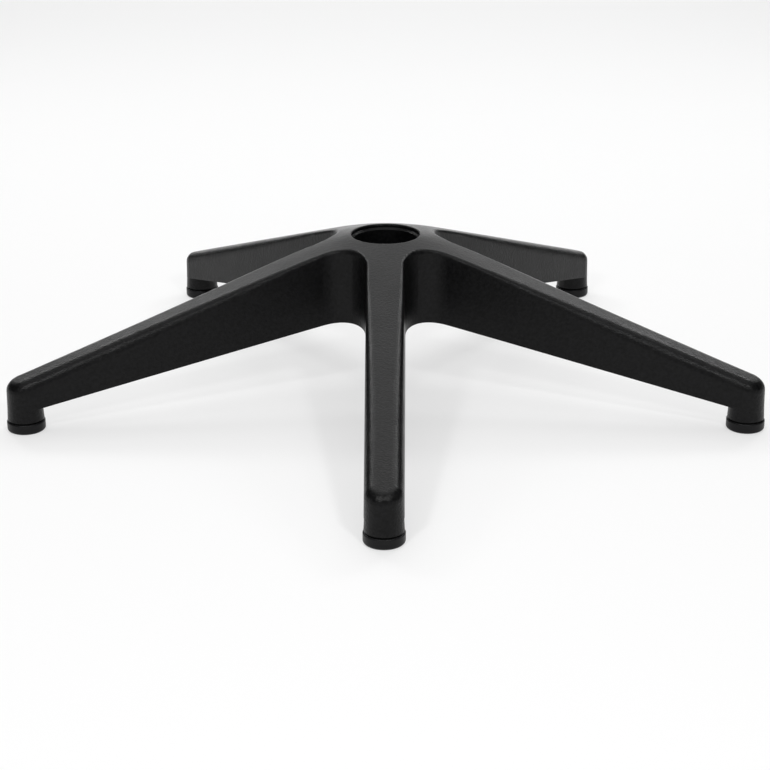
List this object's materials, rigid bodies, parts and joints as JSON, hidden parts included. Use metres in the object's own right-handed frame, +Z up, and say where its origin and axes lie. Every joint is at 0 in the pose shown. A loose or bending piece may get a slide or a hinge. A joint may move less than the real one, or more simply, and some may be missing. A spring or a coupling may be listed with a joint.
{
  "type": "office chair star base",
  "caption": "Moulded star-shaped swivel chair base with sloping ribbed arms, a tapered column socket in the hub and a fixed round glide under each arm.",
  "frame": {"origin": "on the floor plane, under the column axis", "axes": "+Z up along the column axis; arm 1 points along -Y and the others follow counter-clockwise seen from above"},
  "size_m": [0.572, 0.5455, 0.1267],
  "materials": {
    "black_nylon": "fine-grained satin, glass-filled nylon",
    "glide_plastic": "smooth satin",
    "plated_steel": "zinc plated",
    "spring_steel": "bright drawn"
  },
  "bodies": {
    "root": {"star_base": "black_nylon", "hub_hoop": "plated_steel", "glide_foot_1": "glide_plastic", "glide_foot_2": "glide_plastic", "glide_foot_3": "glide_plastic", "glide_foot_4": "glide_plastic", "glide_foot_5": "glide_plastic", "glide_stem_1": "plated_steel", "glide_stem_2": "plated_steel", "glide_stem_3": "plated_steel", "glide_stem_4": "plated_steel", "glide_stem_5": "plated_steel", "grip_ring_1": "spring_steel", "grip_ring_2": "spring_steel", "grip_ring_3": "spring_steel", "grip_ring_4": "spring_steel", "grip_ring_5": "spring_steel"}
  },
  "joints": []
}
